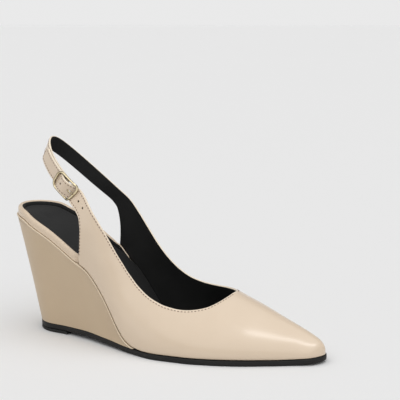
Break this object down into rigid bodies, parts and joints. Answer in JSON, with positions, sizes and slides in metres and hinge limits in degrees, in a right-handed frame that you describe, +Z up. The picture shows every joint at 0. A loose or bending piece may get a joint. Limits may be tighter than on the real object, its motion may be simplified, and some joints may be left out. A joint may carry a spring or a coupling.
{
  "type": "wedge pump",
  "caption": "Pointed slingback pump on a high covered wedge, with a hollow upper open at the heel, a strap round the ankle closed by a small buckle and a thin dark sole.",
  "frame": {"origin": "on the floor, in the middle of the shoe's length and width", "axes": "+X to the toe, +Y to the inner side of the foot, +Z up from the floor"},
  "size_m": [0.2376, 0.077, 0.1397],
  "materials": {
    "outsole_rubber": "smooth, dull black",
    "lift_rubber": "dull black",
    "wedge_cover": "smooth nude calf, semi-gloss",
    "rand_leather": "smooth nude calf, semi-gloss",
    "insole_leather": "matt black lining leather",
    "upper_leather": "smooth nude calf, semi-gloss",
    "buckle_brass": "polished pale gold"
  },
  "bodies": {
    "root": {"outsole": "outsole_rubber", "heel_lift": "lift_rubber", "wedge": "wedge_cover", "rand": "rand_leather", "insole": "insole_leather", "upper": "upper_leather", "buckle_frame": "buckle_brass", "buckle_prong": "buckle_brass"}
  },
  "joints": []
}
